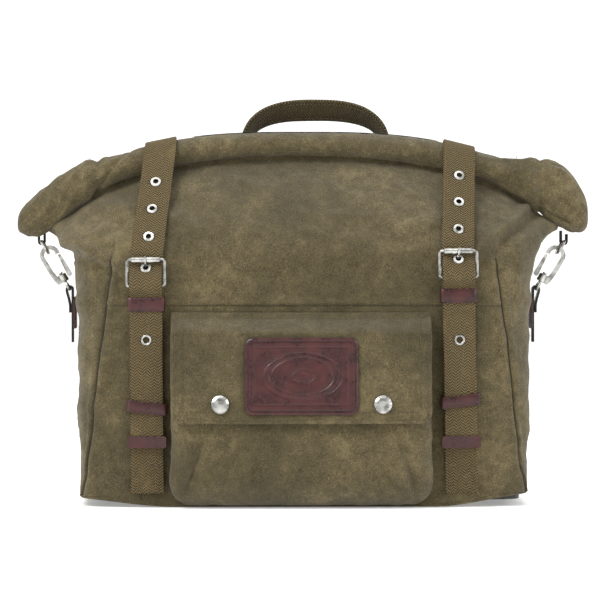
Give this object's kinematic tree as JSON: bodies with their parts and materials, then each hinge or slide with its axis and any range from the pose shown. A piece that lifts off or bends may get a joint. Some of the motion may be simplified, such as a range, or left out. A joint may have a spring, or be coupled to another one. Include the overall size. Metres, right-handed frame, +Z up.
{
  "type": "motorcycle saddlebag",
  "caption": "Roll-top canvas saddlebag with a flapped front pocket, buckled webbing straps, roll ends clipped down to the sides and a carry handle.",
  "frame": {"origin": "centre of the base's underside", "axes": "+Z up, +Y out of the flat back that lies against the motorcycle, +X to the bag's own right side as seen from the front pocket"},
  "size_m": [0.5396, 0.2234, 0.3805],
  "materials": {
    "canvas": "waxed, matte",
    "webbing": "ribbed weave, matte",
    "black_webbing": "ribbed weave, matte",
    "burgundy_leather": "smooth, semi-gloss",
    "nickel": "polished",
    "liner": "coated",
    "board": "plain"
  },
  "bodies": {
    "bag": {"back_panel": "canvas", "back_stiffener": "board", "base_panel": "canvas", "base_stiffener": "board", "front_panel_lower": "canvas", "front_panel_upper": "canvas", "front_pocket": "canvas", "handle_anchor": "black_webbing", "inner_liner": "liner", "left_buckle_frame": "nickel", "left_collar_tab": "black_webbing", "left_eyelet_1": "nickel", "left_eyelet_2": "nickel", "left_eyelet_3": "nickel", "left_eyelet_4": "nickel", "left_fixed_keeper": "burgundy_leather", "left_gusset": "canvas", "left_lower_strap": "webbing", "left_rear_loop": "black_webbing", "left_side_patch": "burgundy_leather", "left_side_strap": "black_webbing", "left_snap_stud": "nickel", "left_strap_end_cap": "burgundy_leather", "left_top_strap": "webbing", "right_buckle_frame": "nickel", "right_collar_tab": "black_webbing", "right_eyelet_1": "nickel", "right_eyelet_2": "nickel", "right_eyelet_3": "nickel", "right_eyelet_4": "nickel", "right_fixed_keeper": "burgundy_leather", "right_gusset": "canvas", "right_lower_strap": "webbing", "right_rear_loop": "black_webbing", "right_side_patch": "burgundy_leather", "right_side_strap": "black_webbing", "right_snap_stud": "nickel", "right_strap_end_cap": "burgundy_leather", "right_top_strap": "webbing", "rolled_collar": "canvas"},
    "flap": {"pocket_flap": "canvas", "leather_patch": "burgundy_leather", "left_snap_cap": "nickel", "right_snap_cap": "nickel"},
    "handle": {"carry_handle": "webbing"},
    "left_prong": {"left_buckle_prong": "nickel"},
    "left_roller": {"left_buckle_roller": "nickel"},
    "left_keeper": {"left_loose_keeper": "burgundy_leather"},
    "left_ring": {"left_d_ring": "nickel"},
    "left_swivel": {"left_swivel_eye": "nickel"},
    "left_clip": {"left_hook": "nickel"},
    "left_gate": {"left_hook_gate": "nickel"},
    "right_prong": {"right_buckle_prong": "nickel"},
    "right_roller": {"right_buckle_roller": "nickel"},
    "right_keeper": {"right_loose_keeper": "burgundy_leather"},
    "right_ring": {"right_d_ring": "nickel"},
    "right_swivel": {"right_swivel_eye": "nickel"},
    "right_clip": {"right_hook": "nickel"},
    "right_gate": {"right_hook_gate": "nickel"}
  },
  "joints": [
    {"name": "flap_hinge", "type": "hinge", "parent": "bag", "child": "flap", "pos_m": [-0.0035, -0.08986, 0.179], "axis": [-1, 0, 0], "range_deg": [0, 120]},
    {"name": "handle_hinge", "type": "hinge", "parent": "bag", "child": "handle", "pos_m": [0.012, 0.0285, 0.324], "axis": [-1, 0, 0], "range_deg": [0, 80]},
    {"name": "left_prong_hinge", "type": "hinge", "parent": "bag", "child": "left_prong", "pos_m": [-0.14651, -0.09184, 0.20453], "axis": [0.9963, -0.0851, 0.0102], "range_deg": [0, 1.5]},
    {"name": "left_roller_spin", "type": "hinge", "parent": "bag", "child": "left_roller", "pos_m": [-0.14662, -0.09027, 0.22848], "axis": [0.9963, -0.0851, 0.0102], "continuous": true},
    {"name": "left_keeper_slide", "type": "slide", "parent": "bag", "child": "left_keeper", "axis": [-0.0047, -0.0115, 0.9999], "range_m": [-0.006, 0.018]},
    {"name": "left_ring_hinge", "type": "hinge", "parent": "bag", "child": "left_ring", "pos_m": [-0.247, 0, 0.245], "axis": [0, -1, 0], "range_deg": [-3, 3]},
    {"name": "left_swivel_hinge", "type": "hinge", "parent": "bag", "child": "left_swivel", "pos_m": [-0.2206, 0, 0.2], "axis": [0, -1, 0], "range_deg": [-3, 3]},
    {"name": "left_clip_swivel", "type": "hinge", "parent": "left_swivel", "child": "left_clip", "pos_m": [-0.2206, 0, 0.2], "axis": [-0.506, 0, 0.8625], "range_deg": [-10, 10]},
    {"name": "left_gate_hinge", "type": "hinge", "parent": "left_clip", "child": "left_gate", "pos_m": [-0.22097, 0, 0.21486], "axis": [0, -1, 0], "range_deg": [0, 18], "stiffness_Nm_per_rad": 0.005, "springref_deg": -20.05},
    {"name": "right_prong_hinge", "type": "hinge", "parent": "bag", "child": "right_prong", "pos_m": [0.14198, -0.09168, 0.2126], "axis": [0.9969, 0.0774, 0.0128], "range_deg": [0, 1.5]},
    {"name": "right_roller_spin", "type": "hinge", "parent": "bag", "child": "right_roller", "pos_m": [0.14155, -0.09011, 0.23655], "axis": [0.9969, 0.0774, 0.0128], "continuous": true},
    {"name": "right_keeper_slide", "type": "slide", "parent": "bag", "child": "right_keeper", "axis": [-0.0179, -0.0085, 0.9998], "range_m": [-0.006, 0.018]},
    {"name": "right_ring_hinge", "type": "hinge", "parent": "bag", "child": "right_ring", "pos_m": [0.247, 0, 0.245], "axis": [0, 1, 0], "range_deg": [-3, 3]},
    {"name": "right_swivel_hinge", "type": "hinge", "parent": "bag", "child": "right_swivel", "pos_m": [0.2206, 0, 0.2], "axis": [0, 1, 0], "range_deg": [-3, 3]},
    {"name": "right_clip_swivel", "type": "hinge", "parent": "right_swivel", "child": "right_clip", "pos_m": [0.2206, 0, 0.2], "axis": [0.506, 0, 0.8625], "range_deg": [-10, 10]},
    {"name": "right_gate_hinge", "type": "hinge", "parent": "right_clip", "child": "right_gate", "pos_m": [0.22097, 0, 0.21486], "axis": [0, 1, 0], "range_deg": [0, 18], "stiffness_Nm_per_rad": 0.005, "springref_deg": -20.05}
  ]
}
